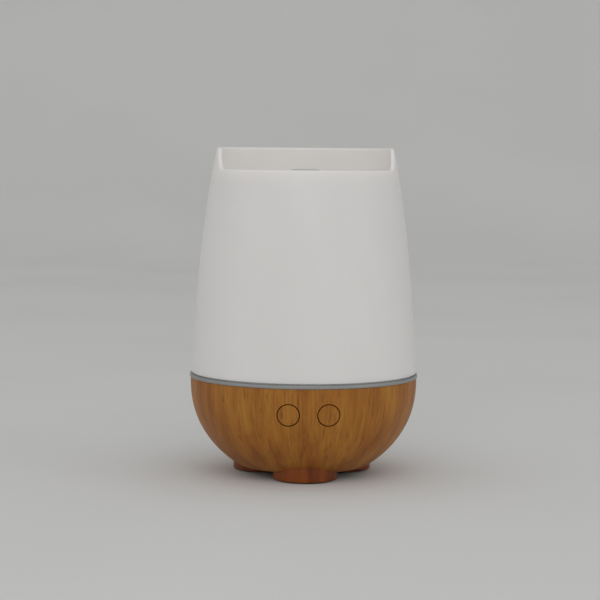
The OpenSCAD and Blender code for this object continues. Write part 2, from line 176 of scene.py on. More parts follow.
def rod(name, centre, radius, depth, along="Z", sides=96):
    """A cutter, or the start of a pin or boss."""
    bpy.ops.object.select_all(action="DESELECT")
    turn = {"Z": (0, 0, 0), "Y": (pi / 2, 0, 0), "X": (0, pi / 2, 0)}[along]
    bpy.ops.mesh.primitive_cylinder_add(vertices=sides, radius=radius, depth=depth,
                                        location=centre, rotation=turn)
    return settle(bpy.context.object, name)


def block(name, low, high):
    bpy.ops.object.select_all(action="DESELECT")
    low, high = Vector(low), Vector(high)
    bpy.ops.mesh.primitive_cube_add(size=1, location=(low + high) / 2, scale=high - low)
    return settle(bpy.context.object, name)


def settle(obj, name):
    """Names a new object and puts its place into its mesh."""
    obj.name = obj.data.name = name
    bpy.ops.object.transform_apply(location=True, rotation=True, scale=True)
    return obj


def combine(obj, others, how="DIFFERENCE"):
    """Cuts other shapes out of obj, or joins them to it, and removes them."""
    for other in others:
        bpy.ops.object.select_all(action="DESELECT")
        bpy.context.view_layer.objects.active = obj
        obj.select_set(True)
        step = obj.modifiers.new("combine", "BOOLEAN")
        step.operation, step.object, step.solver = how, other, "EXACT"
        bpy.ops.object.modifier_apply(modifier=step.name)
        bpy.data.objects.remove(other)
    return obj


def rounded_edges(obj, width, segments=2, degrees=40):
    bpy.ops.object.select_all(action="DESELECT")
    bpy.context.view_layer.objects.active = obj
    obj.select_set(True)
    step = obj.modifiers.new("edges", "BEVEL")
    step.width, step.segments, step.limit_method = width, segments, "ANGLE"
    step.angle_limit, step.harden_normals = radians(degrees), False
    bpy.ops.object.modifier_apply(modifier=step.name)
    return obj


def copied(obj, name, degrees, about=(0, 0, 0)):
    """A copy with its own mesh, turned about a vertical line."""
    bpy.ops.object.select_all(action="DESELECT")
    bpy.context.view_layer.objects.active = obj
    obj.select_set(True)
    bpy.ops.object.duplicate()
    twin = bpy.context.object
    twin.name = twin.data.name = name
    edit(twin, "SELECT")
    bpy.ops.transform.rotate(value=-radians(degrees), orient_axis="Z", center_override=about)
    return done(twin)


def joined(objects, name):
    bpy.ops.object.select_all(action="DESELECT")
    for o in objects:
        o.select_set(True)
    bpy.context.view_layer.objects.active = objects[0]
    bpy.ops.object.join()
    objects[0].name = objects[0].data.name = name
    return objects[0]


# ---- outlines ---------------------------------------------------------------------------

def cover_radius(z):
    t = (z - COVER_FROM_Z) / (TOP_Z - COVER_FROM_Z)
    return COVER_R - COVER_TAPER * t - COVER_CURVE * t ** 3


def bowl_curve(inset=0.0, steps=48):
    """The bowl's outline from its top edge down to its flat underside."""
    flat_r = BOWL_FLAT_R - inset * 0.45
    points = []
    for i in range(steps + 1):
        a = pi / 2 * i / steps
        points.append((flat_r + (BOWL_TOP_R - inset - flat_r) * max(cos(a), 0) ** 1.76,
                       RING_Z - (RING_Z - BOWL_FLAT_Z - inset) * sin(a) ** 0.83))
    return points


BOWL_POINTS = bowl_curve(steps=400)


def bowl_radius(z):
    """Outer radius of the bowl at a height."""
    for (r0, z0), (r1, z1) in zip(BOWL_POINTS, BOWL_POINTS[1:]):
        if z1 <= z <= z0:
            return r1 + (r0 - r1) * (z - z1) / (z0 - z1)
    return BOWL_TOP_R


def bowl_height(r):
    """Height of the bowl's underside at a distance from the middle."""
    for (r0, z0), (r1, z1) in zip(BOWL_POINTS, BOWL_POINTS[1:]):
        if r1 <= r <= r0 and r0 > r1:
            return z1 + (z0 - z1) * (r - r1) / (r0 - r1)
    return BOWL_FLAT_Z


# ---- visible pieces ---------------------------------------------------------------------

def rim_height(y):
    """Height of the cover's rim at a depth: low in front, then an S-curve to the full height."""
    t = min(max((y - LIP_FRONT_Y) / (LIP_BACK_Y - LIP_FRONT_Y), 0), 1)
    return TOP_Z - LIP_DROP + LIP_DROP * t * t * (3 - 2 * t)


def outer_cover():
    rows = 40
    outer = [(cover_radius(z), z) for z in
             (SEAT_Z + (TOP_Z - SEAT_Z) * i / rows for i in range(1, rows))]
    rim_r = cover_radius(TOP_Z)
    rim_wall = 1.7 * MM                    # the wall grows a little thinner towards the rim
    inner_top = [(cover_radius(z) - rim_wall + (rim_wall - COVER_WALL) * i / 8, z) for i, z in
                 ((i, TOP_Z + (DISH_EDGE_Z - TOP_Z) * i / 8) for i in range(1, 8))]
    below = DISH_EDGE_Z - DISH_T
    inner = [(cover_radius(z) - COVER_WALL, z) for z in
             (below + (SEAT_Z - below) * i / rows for i in range(1, rows))]
    dish_r = cover_radius(DISH_EDGE_Z) - COVER_WALL
    hole_r = 8.2 * MM
    corners = (
        [(COVER_R, SEAT_Z, 0.5 * MM)] + outer
        + [(rim_r, TOP_Z, 0.8 * MM), (rim_r - rim_wall, TOP_Z, 0.8 * MM)] + inner_top
        + [(dish_r, DISH_EDGE_Z, 2.4 * MM), (12 * MM, DISH_Z, 2 * MM), (hole_r, DISH_Z, 0.5 * MM),
           (hole_r, DISH_Z - DISH_T), (12 * MM, DISH_Z - DISH_T),
           (cover_radius(below) - COVER_WALL, below, 1.5 * MM)]
        + inner + [(COVER_R - COVER_WALL, SEAT_Z, 0.4 * MM)]
    )
    cover = turned("outer_cover_shell", soften(corners))
    # the wall above the recess is squeezed down to the stepped rim
    keep, rim_band = DISH_EDGE_Z + 0.5 * MM, 1.2 * MM
    for v in cover.data.vertices:
        if v.co.z <= keep:
            continue
        z, out = v.co.z, v.co.xy.normalized()
        away = v.co.xy.length - cover_radius(z)
        top = TOP_Z
        for _ in range(4):
            top = rim_height(out.y * (cover_radius(top) + away))
        if z > TOP_Z - rim_band:
            new_z = z - (TOP_Z - top)
        else:
            new_z = keep + (z - keep) * (top - rim_band - keep) / (TOP_Z - rim_band - keep)
        v.co.xy = out * (cover_radius(new_z) + away)
        v.co.z = new_z
    return smooth(cover)


def mist_nozzle():
    flange_z = DISH_Z + 0.02 * MM
    low, top = NOZZLE_LOW.z, NOZZLE_HIGH.z
    bell_r = NOZZLE_HIGH.x
    mm = MM
    corners = [
        (5.4 * mm, top, 0.4 * mm), (6.5 * mm, top, 0.4 * mm),
        (7.9 * mm, flange_z + 1.6 * mm, 0.8 * mm), (11.5 * mm, flange_z + 1.2 * mm, 0.5 * mm),
        (11.5 * mm, flange_z, 0.2 * mm), (7.9 * mm, flange_z), (7.9 * mm, low + 16 * mm, 3 * mm),
        (bell_r, low + 8 * mm, 3 * mm), (bell_r, low, 0.5 * mm),
        (bell_r - 1.4 * mm, low, 0.5 * mm), (bell_r - 1.4 * mm, low + 8 * mm, 3 * mm),
        (5.4 * mm, low + 17 * mm, 3 * mm),
    ]
    return smooth(turned("mist_nozzle_tip", soften(corners), steps=96))


def trim_ring():
    top = SEAT_Z - 0.6 * MM
    outer = RING_HIGH.x
    seat_r = COVER_R - 0.75 * MM
    spigot_r = COVER_R - COVER_WALL - 0.45 * MM
    corners = [
        (50.2 * MM, RING_Z), (outer, RING_Z, 0.35 * MM), (outer, top, 0.45 * MM),
        (seat_r, top, 0.1 * MM), (seat_r, SEAT_Z, 0.1 * MM), (spigot_r, SEAT_Z, 0.1 * MM),
        (spigot_r, RING_HIGH.z, 0.4 * MM), (50.2 * MM, RING_HIGH.z, 0.4 * MM),
    ]
    return smooth(turned("silver_trim_ring", soften(corners), steps=256), 50)


def base_bowl():
    plate_r, hole_r = 29.2 * MM, 26 * MM
    step_z = BOWL_FLAT_Z + 1.2 * MM
    floor_z = BOWL_FLAT_Z + BOWL_WALL
    ledge_low, ledge_z, ledge_r = RING_Z - 4 * MM, RING_Z - 2.6 * MM, 49.7 * MM
    inner_line = list(reversed(bowl_curve(BOWL_WALL)))
    inner = [p for p in inner_line if p[1] < ledge_low - 0.1 * MM]
    near_r = bowl_radius(ledge_low) - BOWL_WALL
    inner += [(near_r, ledge_low), (ledge_r, ledge_low, 0.3 * MM), (ledge_r, ledge_z, 0.2 * MM),
              (near_r, ledge_z)]
    inner += [p for p in inner_line if ledge_z + 0.1 * MM < p[1] < RING_Z - 0.2 * MM]
    corners = (
        [(BOWL_TOP_R, RING_Z, 0.3 * MM)] + bowl_curve()[1:-1]
        + [(BOWL_FLAT_R, BOWL_FLAT_Z, 1.5 * MM), (plate_r, BOWL_FLAT_Z, 0.2 * MM),
           (plate_r, step_z), (hole_r, step_z), (hole_r, floor_z)]
        + inner[1:] + [(BOWL_TOP_R - BOWL_WALL, RING_Z, 0.2 * MM)]
    )
    bowl = turned("wood_look_bowl", soften(corners), steps=256)
    hole = BUTTON_R + BUTTON_GAP
    front, back = -BOWL_TOP_R, BOWL_TOP_R
    cutters = [rod("hole", (s * BUTTON_X, front, BUTTON_Z), hole, 22 * MM, "Y") for s in (-1, 1)]
    cutters.append(rod("hole", (0, back - 6 * MM, INLET_Z), INLET_R, 22 * MM, "Y"))
    flange_room = hole + 1.4 * MM          # the buttons' flanges slide in here
    cutters += [rod("counterbore", (s * BUTTON_X, -44.4 * MM, BUTTON_Z), flange_room, 8.8 * MM, "Y")
                for s in (-1, 1)]
    cutters.append(block("socket_pocket", (-4.7 * MM, 30 * MM, INLET_Z - 5.2 * MM),
                         (4.7 * MM, 41.1 * MM, INLET_Z + 5.2 * MM)))
    combine(bowl, cutters)
    # the outer edges of the three openings are softened
    edit(bowl)
    done(bowl)
    spots = [((s * BUTTON_X, BUTTON_Z), hole) for s in (-1, 1)] + [((0, INLET_Z), INLET_R)]
    verts = bowl.data.vertices
    for edge in bowl.data.edges:
        ends = [verts[i].co for i in edge.vertices]
        for (x, z), radius in spots:
            on_rim = all(abs(sqrt((c.x - x) ** 2 + (c.z - z) ** 2) - radius) < 0.02 * MM
                         and abs(c.xy.length - bowl_radius(c.z)) < 0.12 * MM for c in ends)
            edge.select = edge.select or (on_rim and (ends[0].y < 0) == (radius == hole))
    bpy.ops.object.mode_set(mode="EDIT")
    bpy.ops.mesh.select_mode(type="EDGE")
    bpy.ops.mesh.bevel(offset=0.22 * MM, segments=3, clamp_overlap=True)
    bpy.ops.mesh.select_mode(type="VERT")
    done(bowl)
    combine(bowl, wall_ribs() + light_tabs(), "UNION")
    return smooth(bowl, 32)


def wall_ribs():
    """Two grooved ribs that hold the button board, trimmed to the bowl's curve."""
    board_low, board_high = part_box("button_board")
    half_rib, below, slack = 1.5 * MM, 0.4 * MM, 0.15 * MM
    rib_front_y, rib_back_y = -50 * MM, -42.6 * MM
    ribs = []
    for s in (-1, 1):
        middle = s * (board_high.x + 0.7 * MM)
        rib = block("rib", (middle - half_rib, rib_front_y, board_low.z - below),
                    (middle + half_rib, rib_back_y, board_high.z - below))
        groove_x = s * (board_high.x - 1.4 * MM)
        groove = block("groove", (groove_x - 1.6 * MM, board_low.y - slack, board_low.z),
                       (groove_x + 1.6 * MM, board_high.y + slack, board_high.z + 1 * MM))
        combine(rib, [groove])
        line = bowl_curve(1.2 * MM)[1:-1]
        inside = turned("inside", [(0, RING_Z - MM)] + [p for p in line if p[1] < RING_Z - MM]
                        + [(0, line[-1][1])], steps=192, closed=False)
        ribs.append(combine(rib, [inside], "INTERSECT"))
    return ribs


def light_tabs():
    """Four tabs on the wall under the ring-shaped light board."""
    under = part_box("led_board")[0].z
    tabs = []
    for a in (45, 135, 225, 315):
        tab = block("tab", (45.5 * MM, -3 * MM, under - 2 * MM), (52.6 * MM, 3 * MM, under - 0.01 * MM))
        rounded_edges(tab, 0.3 * MM)
        tabs.append(copied(tab, "tab", a))
        bpy.data.objects.remove(tab)
    return tabs


def inlet_collar():
    """Tube from the bowl's wall to the face of the power socket."""
    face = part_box("dc_jack")[1].y + 0.1 * MM
    wall = bowl_radius(INLET_Z - 6 * MM) + 0.3 * MM
    corners = [(INLET_R, face, 0.3 * MM), (INLET_R + 1.4 * MM, face),
               (INLET_R + 1.4 * MM, wall), (INLET_R, wall)]
    return smooth(turned("inlet_collar", soften(corners), centre=(0, 0, INLET_Z), axis="Y", steps=64))


def button(name, x, dish):
    """Round cap whose face follows the bowl, with a soft edge and a shallow dish."""
    back, flange_r = BUTTON_HIGH.y, BUTTON_R + 1.2 * MM
    flange_y, sunk = back - 1 * MM, 0.14 * MM
    front = -BOWL_TOP_R
    corners = (
        [(0, front)] + [(BUTTON_R * k / 10, front) for k in range(1, 10)]
        + [(BUTTON_R, front, 0.35 * MM), (BUTTON_R, flange_y), (flange_r, flange_y, 0.2 * MM),
           (flange_r, back, 0.2 * MM), (0, back)]
    )
    cap = turned(name, soften(corners, closed=False), centre=(x, 0, BUTTON_Z), axis="Y",
                 steps=96, closed=False)
    for v in cap.data.vertices:
        depth = v.co.y - front
        if depth > 0.5 * MM:
            continue
        out = sqrt((v.co.x - x) ** 2 + (v.co.z - BUTTON_Z) ** 2) / BUTTON_R
        surface = -sqrt(bowl_radius(v.co.z) ** 2 - v.co.x ** 2)
        hollow = dish * max(0, 1 - (out / 0.86) ** 2)
        v.co.y = surface + sunk + depth + hollow
    edit(cap, "SELECT")
    bpy.ops.mesh.normals_make_consistent(inside=False)
    done(cap)
    return smooth(cap, 50)


def feet():
    """One disc foot fitted under the bowl, and its two turned copies."""
    at = (0, -FOOT_AT, 0)
    recess_r, recess_z = 11.2 * MM, 1.2 * MM
    top = 4 * MM
    head_r, head_z, bore_r = 3.35 * MM, 3.3 * MM, 1.7 * MM
    corners = [
        (head_r, recess_z, 0.15 * MM), (recess_r, recess_z), (recess_r, FOOT_Z, 0.25 * MM),
        (FOOT_R, FOOT_Z, 0.6 * MM), (FOOT_R, 2 * MM), (FOOT_R, 2.6 * MM), (FOOT_R, 3.3 * MM),
        (FOOT_R, top), (FOOT_R - 0.8 * MM, top), (FOOT_R - 4 * MM, top), (FOOT_R - 8 * MM, top),
        (bore_r, top), (bore_r, head_z), (head_r, head_z),
    ]
    foot = turned("disc_foot_front", soften(corners), centre=at, steps=128)
    # above this height the foot's top is drawn up to the bowl's curve
    start, clear = 1.6 * MM, 0.06 * MM
    for v in foot.data.vertices:
        in_bore = (v.co - Vector(at)).xy.length < head_r + 0.1 * MM and v.co.z < top - 0.1 * MM
        if v.co.z > start and not in_bore:
            under = bowl_height(v.co.xy.length) - clear
            v.co.z = start + (v.co.z - start) * (under - start) / (top - start)
    edit(foot, "SELECT")
    bpy.ops.mesh.normals_make_consistent(inside=False)
    done(foot)
    smooth(foot)
    return foot, copied(foot, "disc_foot_left", -120), copied(foot, "disc_foot_right", 120)


def foot_spots():
    """Centres of the three feet, which the case screws share."""
    return [(FOOT_AT * cos(radians(a)), FOOT_AT * sin(radians(a))) for a in (-90, 30, 150)]


def foot_pads():
    """Rubber pads with two moulded grooves each."""
    r, h = 11 * MM, PAD_HIGH.z
    groove = 0.25 * MM
    corners = [(0, h), (r, h, 0.1 * MM), (r, 0, 0.35 * MM)]
    for out in (8.6 * MM, 5.4 * MM):
        corners += [(out, 0, 0.1 * MM), (out - 0.3 * MM, groove, 0.1 * MM),
                    (out - 1.1 * MM, groove, 0.1 * MM), (out - 1.4 * MM, 0, 0.1 * MM)]
    corners.append((0, 0))
    pad = smooth(turned("rubber_foot_pads", soften(corners, closed=False),
                        centre=(0, -FOOT_AT, 0), steps=96, closed=False))
    return joined([pad, copied(pad, "pad", 120), copied(pad, "pad", 240)], "rubber_foot_pads")


def inner_lid():
    foot_z = LID_LOW.z + 4.5 * MM          # stands on the tank's rim
    t, spout_r, bore_r = 1.8 * MM, 12.4 * MM, 10.6 * MM
    flange_r, dome_h = LID_HIGH.x, 23 * MM
    skirt_r = TANK_WALL_R - 2.3 * MM
    dome_r = flange_r - 1.6 * MM
    steps = 20
    outside = [(spout_r + (dome_r - spout_r) * cos(pi / 2 * i / steps),
                foot_z + t + dome_h * sin(pi / 2 * i / steps)) for i in range(1, steps)]
    inner_r = skirt_r - 1.8 * MM
    inside = [(spout_r + (inner_r - spout_r) * cos(pi / 2 * i / steps),
               foot_z + (dome_h - 0.2 * MM) * sin(pi / 2 * i / steps)) for i in range(steps - 1, 0, -1)]
    corners = (
        [(flange_r, foot_z, 0.4 * MM), (flange_r, foot_z + t, 0.6 * MM), (dome_r, foot_z + t, 1.2 * MM)]
        + outside
        + [(spout_r, foot_z + t + dome_h, 3 * MM), (spout_r, LID_HIGH.z, 0.8 * MM),
           (bore_r, LID_HIGH.z, 0.8 * MM), (bore_r, foot_z + t + 12 * MM, 0.6 * MM),
           (spout_r, foot_z + t + 12 * MM, 0.6 * MM), (spout_r, foot_z + dome_h - 0.2 * MM, 1.5 * MM)]
        + inside
        + [(inner_r, foot_z, 0.6 * MM), (inner_r, LID_LOW.z, 0.5 * MM), (skirt_r, LID_LOW.z, 0.5 * MM),
           (skirt_r, foot_z)]
    )
    return smooth(turned("splash_lid", soften(corners)))


def water_tank():
    floor_low, floor_z = 25 * MM, 27 * MM
    deck_z = RING_Z - 2 * MM
    deck_r = TANK_HIGH.x
    cup_r, wall = 40 * MM, 2 * MM
    inner_r = TANK_WALL_R - wall
    level = 56 * MM                        # the rib that marks the highest water
    corners = [
        (8 * MM, floor_low), (cup_r, floor_low, 2 * MM), (cup_r, deck_z, 0.8 * MM), (deck_r, deck_z),
        (deck_r, RING_Z), (TANK_WALL_R, RING_Z, 0.8 * MM), (TANK_WALL_R, TANK_RIM_Z, 0.6 * MM),
        (inner_r, TANK_RIM_Z, 0.6 * MM), (inner_r, level + 0.35 * MM),
        (inner_r - 0.4 * MM, level, 0.1 * MM),
        (inner_r, level - 0.35 * MM), (inner_r, RING_Z, 1.5 * MM), (cup_r - wall, RING_Z, 1.5 * MM),
        (cup_r - wall, floor_z, 3 * MM), (14 * MM, floor_z, 1 * MM),
        (12 * MM, floor_z - 0.4 * MM, 1 * MM),
        (8.2 * MM, floor_z - 1.2 * MM, 0.3 * MM),
    ]
    tank = turned("water_tank_body", soften(corners, steps=5))
    x0, x1 = DUCT_AT - DUCT_W / 2, DUCT_AT + DUCT_W / 2
    top = 60.5 * MM
    duct = block("duct", (x0, -DUCT_L / 2, floor_low + 0.5 * MM), (x1, DUCT_L / 2, top))
    rounded_edges(duct, 1.2 * MM, 4)
    trim = rod("trim", (0, 0, 45 * MM), cup_r - 0.6 * MM, 60 * MM, sides=192)
    combine(duct, [trim], "INTERSECT")
    post_r, case_bore_r, disc_bore_r, disc_bores_at = 3.2 * MM, 1.25 * MM, 1 * MM, 14.6 * MM
    posts = [rod("post", (x, y, 16 * MM), post_r, 18.4 * MM, sides=48) for x, y in foot_spots()]
    boss_in, boss_out, boss_low, boss_top = 12.3 * MM, 16.8 * MM, 20.4 * MM, floor_low + 1 * MM
    boss = turned("boss", soften([(boss_in, boss_low, 0.3 * MM), (boss_out, boss_low, 0.4 * MM),
                                  (boss_out, boss_top), (boss_in, boss_top)]), steps=96)
    combine(tank, [duct, boss] + posts, "UNION")
    bores = [rod("bore", (x, y, 11.5 * MM), case_bore_r, 13 * MM, sides=32) for x, y in foot_spots()]
    for a in (30, 150, 270):
        at = (disc_bores_at * cos(radians(a)), disc_bores_at * sin(radians(a)), 21.7 * MM)
        bores.append(rod("bore", at, disc_bore_r, 4.6 * MM, sides=32))
    combine(tank, bores)
    hollow = block("hollow", (x0 + DUCT_WALL, -DUCT_L / 2 + DUCT_WALL, 20 * MM),
                   (x1 - DUCT_WALL, DUCT_L / 2 - DUCT_WALL, 70 * MM))
    combine(tank, [hollow])
    return smooth(tank, 30)


def bottom_plate():
    """Vented plate with round-ended slots; the slots lie between the feet."""
    r, body_r = 29 * MM, 25.8 * MM
    low, lip, top = PLATE_LOW.z, PLATE_LOW.z + 1.15 * MM, PLATE_LOW.z + 2.2 * MM
    corners = [(0, low), (r, low, 0.3 * MM), (r, lip), (body_r, lip), (body_r, top, 0.2 * MM), (0, top)]
    plate = turned("vented_bottom_plate", soften(corners, closed=False), steps=128, closed=False)
    cutters = []
    for middle in (90, 210, 330):
        for side, start, end in ((0, 8.5, 24.4), (3.9, 18.4, 24), (-3.9, 18.4, 24)):
            slot = block("slot", ((start + 1) * MM, (side - 1) * MM, low - MM),
                         ((end - 1) * MM, (side + 1) * MM, top + MM))
            ends = [rod("end", (x * MM, side * MM, (low + top) / 2), 1 * MM, 4.2 * MM, sides=24)
                    for x in (start + 1, end - 1)]
            combine(slot, ends, "UNION")
            cutters.append(copied(slot, "slot", middle))
            bpy.data.objects.remove(slot)
    cutters += [rod("screw_hole", (x, y, low), 1.7 * MM, 12 * MM, sides=48) for x, y in foot_spots()]
    combine(plate, cutters)
    board_z, post_r, bore_r, bore_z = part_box("main_board")[0].z, 2.4 * MM, 0.9 * MM, top + 0.6 * MM
    post_corners = [(0, low + MM), (post_r, low + MM), (post_r, board_z, 0.2 * MM),
                    (bore_r, board_z, 0.1 * MM), (bore_r, bore_z), (0, bore_z)]
    for x in (-12 * MM, 12 * MM):
        post = turned("board_post", soften(post_corners, closed=False),
                      centre=(x, -16 * MM, 0), steps=48, closed=False)
        combine(plate, [post], "UNION")
    return smooth(plate, 30)


def mist_disc():
    """Plated disc with a raised rim and a small domed middle."""
    low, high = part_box("piezo_disc")
    r = high.x
    corners = [(0, low.z), (r, low.z, 0.1 * MM), (r, high.z, 0.2 * MM), (r - 1.4 * MM, high.z),
               (r - 1.9 * MM, high.z - 0.25 * MM, 0.2 * MM), (3.2 * MM, high.z - 0.25 * MM, 0.3 * MM),
               (2 * MM, high.z - 0.05 * MM, 0.4 * MM), (0, high.z)]
    return smooth(turned("plated_mist_disc", soften(corners, closed=False), steps=96, closed=False))


# ---- finishes ---------------------------------------------------------------------------

def srgb(r, g, b):
    """A colour from 0 to 255 as Blender's linear values."""
    def one(c):
        c /= 255
        return c / 12.92 if c <= 0.04045 else ((c + 0.055) / 1.055) ** 2.4
    return one(r), one(g), one(b), 1


class Finish:
    """A material being made: its nodes, its shader and short calls for common nodes."""

    def __init__(self, name, roughness=0.5, metallic=0.0):
        self.material = bpy.data.materials.new(name)
        self.material.use_nodes = True
        self.tree = self.material.node_tree
        self.shader = self.tree.nodes["Principled BSDF"]
        self.set(Roughness=roughness, Metallic=metallic)
        self.place = self.node("ShaderNodeTexCoord").outputs["Object"]
        self.bumps = None

    def set(self, **values):
        for name, value in values.items():
            self.shader.inputs[name.replace("_", " ")].default_value = value
        return self

    def node(self, kind, **values):
        made = self.tree.nodes.new(kind)
        for name, value in values.items():
            if name in made.inputs:
                made.inputs[name].default_value = value
            else:
                setattr(made, name, value)
        return made

    def link(self, a, b):
        self.tree.links.new(a, b)

    def stretched(self, scale, turn=(0, 0, 0), shift=(0, 0, 0)):
        mapping = self.node("ShaderNodeMapping")
        mapping.inputs["Scale"].default_value = scale
        mapping.inputs["Rotation"].default_value = turn
        mapping.inputs["Location"].default_value = shift
        self.link(self.place, mapping.inputs["Vector"])
        return mapping.outputs["Vector"]

    def around(self, power, height, middle=50 * MM):
        """Coordinates whose streaks run down a round body and draw together under it."""
        split = self.node("ShaderNodeSeparateXYZ")
        self.link(self.place, split.inputs["Vector"])
        x, y, z = (split.outputs[k] for k in "XYZ")
        squares = [self.math("MULTIPLY", side, side) for side in (x, y)]
        out = self.math("MAXIMUM", self.math("SQRT", self.math("ADD", *squares)), 4 * MM)
        stretch = self.math("POWER", self.math("DIVIDE", middle, out), power)
        joined_up = self.node("ShaderNodeCombineXYZ")
        for key, side, factor in (("X", x, stretch), ("Y", y, stretch), ("Z", z, height)):
            self.link(self.math("MULTIPLY", side, factor), joined_up.inputs[key])
        return joined_up.outputs["Vector"]

    def math(self, how, a, b=None):
        made = self.node("ShaderNodeMath", operation=how)
        for socket, value in zip(made.inputs, (a, b)):
            if isinstance(value, (int, float)):
                socket.default_value = value
            elif value is not None:
                self.link(value, socket)
        return made.outputs["Value"]

    def noise(self, scale, detail=4, rough=0.5, where=None, distortion=0.0):
        made = self.node("ShaderNodeTexNoise", Scale=scale, Detail=detail, Roughness=rough,
                         Distortion=distortion)
        self.link(where or self.place, made.inputs["Vector"])
        return made.outputs["Fac"]

    def ramp(self, value, *stops):
        made = self.node("ShaderNodeValToRGB")
        band = made.color_ramp
        for i, (at, colour) in enumerate(stops):
            stop = band.elements[i] if i < 2 else band.elements.new(at)
            stop.position, stop.color = at, colour
        self.link(value, made.inputs["Fac"])
        return made.outputs["Color"]

    def mix(self, amount, a, b, how="MIX"):
        made = self.node("ShaderNodeMix", data_type="RGBA", blend_type=how)
        for socket, value in ((made.inputs["Factor"], amount), (made.inputs[6], a), (made.inputs[7], b)):
            if isinstance(value, (int, float, tuple)):
                socket.default_value = value
            else:
                self.link(value, socket)
        return made.outputs[2]

    def range(self, value, low, high, from_low=0.0, from_high=1.0):
        made = self.node("ShaderNodeMapRange")
        for key, number in (("From Min", from_low), ("From Max", from_high),
                            ("To Min", low), ("To Max", high)):
            made.inputs[key].default_value = number
        self.link(value, made.inputs["Value"])
        return made.outputs["Result"]

    def colour(self, value):
        if isinstance(value, tuple):
            self.shader.inputs["Base Color"].default_value = value
        else:
            self.link(value, self.shader.inputs["Base Color"])
        return self

    def rough(self, value):
        self.link(value, self.shader.inputs["Roughness"])
        return self

    def bump(self, height, strength, distance):
        made = self.node("ShaderNodeBump", Strength=strength, Distance=distance)
        self.link(height, made.inputs["Height"])
        if self.bumps:
            self.link(self.bumps, made.inputs["Normal"])
        self.bumps = made.outputs["Normal"]
        self.link(self.bumps, self.shader.inputs["Normal"])
        return self


def moulded(name, light, dark, roughness=0.4, grain=900, depth=0.02, soft=0.0):
    """Moulded plastic: a fine spark-eroded grain, faint flow marks and uneven gloss."""
    f = Finish(name, roughness)
    cloud = f.noise(22, 3, 0.55, f.stretched((1, 1, 0.5)))
    f.colour(f.mix(f.range(cloud, 0, 1, 0.35, 0.65), dark, light))
    f.rough(f.range(f.noise(60, 4), roughness - 0.05, roughness + 0.07, 0.3, 0.7))
    f.bump(f.noise(grain, 2, 0.6), 0.35, depth * MM)
    f.bump(f.noise(45, 2, 0.5), 0.08, 0.15 * MM)
    if soft:
        f.set(Subsurface_Weight=soft, Subsurface_Scale=4 * MM)
        f.shader.inputs["Subsurface Radius"].default_value = (1.0, 0.93, 0.85)
    return f.material


def wood_print(name, light, mid, dark):
    """Wood-grain print: soft upright bands, fine fibres and short dark pores."""
    f = Finish(name, 0.42)
    broad = f.noise(120, 3, 0.5, f.around(0.6, 0.16), distortion=0.3)
    fibres = f.noise(1100, 4, 0.6, f.around(0.85, 0.05))
    pores = f.noise(1500, 2, 0.6, f.around(0.85, 0.07))
    dashes = f.noise(800, 2, 0.5, f.around(0.85, 0.10))
    tone = f.ramp(broad, (0.34, dark), (0.50, mid), (0.66, light))
    streak = f.ramp(fibres, (0.32, (0.62, 0.55, 0.48, 1)), (0.50, (1, 1, 1, 1)),
                    (0.68, (1.2, 1.2, 1.14, 1)))
    tone = f.mix(0.5, tone, streak, "MULTIPLY")
    pore = f.ramp(pores, (0.30, (0.42, 0.32, 0.24, 1)), (0.42, (1, 1, 1, 1)))
    tone = f.mix(0.6, tone, pore, "MULTIPLY")
    dash = f.ramp(dashes, (0.27, (0.50, 0.38, 0.28, 1)), (0.36, (1, 1, 1, 1)), (0.72, (1, 1, 1, 1)),
                  (0.80, (1.25, 1.25, 1.2, 1)))
    f.colour(f.mix(0.6, tone, dash, "MULTIPLY"))
    f.rough(f.range(fibres, 0.40, 0.54, 0.3, 0.7))
    f.bump(pores, 0.2, 0.04 * MM)
    f.bump(fibres, 0.12, 0.04 * MM)
    f.set(Specular_IOR_Level=0.3)
    return f.material


def silver_paint():
    """Silver-grey metallic paint with a fine flake."""
    f = Finish("silver_paint", 0.38, 0.55)
    flake = f.node("ShaderNodeTexVoronoi", Scale=2600)
    f.link(f.place, flake.inputs["Vector"])
    glint = f.range(flake.outputs["Distance"], 0, 1, 0.0, 0.6)
    tone = f.mix(glint, srgb(174, 176, 175), srgb(152, 154, 153))
    f.colour(f.mix(f.range(f.noise(35, 3), 0, 0.3, 0.4, 0.6), tone, srgb(141, 143, 142)))
    f.rough(f.range(f.noise(300, 3), 0.34, 0.46, 0.3, 0.7))
    f.bump(flake.outputs["Distance"], 0.10, 0.02 * MM)
    return f.material


def rubber(name, tone):
    f = Finish(name, 0.75)
    dust = f.noise(120, 5, 0.65)
    dusty = tuple(min(1, c * 2.2) for c in tone[:3]) + (1,)
    f.colour(f.mix(f.range(dust, 0, 0.5, 0.45, 0.75), tone, dusty))
    f.rough(f.range(dust, 0.68, 0.85, 0.3, 0.7))
    f.bump(f.noise(1500, 2), 0.4, 0.03 * MM)
    return f.material


def metal(name, light, dark, roughness=0.3, brushed=(40, 40, 2)):
    """Plated or rolled metal with fine directional marks and a slight tarnish."""
    f = Finish(name, roughness, 1.0)
    marks = f.noise(90, 4, 0.6, f.stretched(brushed))
    tarnish = f.noise(160, 4, 0.6)
    f.colour(f.mix(f.range(tarnish, 0, 1, 0.35, 0.7), light, dark))
    f.rough(f.range(marks, roughness - 0.08, roughness + 0.12, 0.3, 0.7))
    f.bump(marks, 0.12, 0.02 * MM)
    return f.material


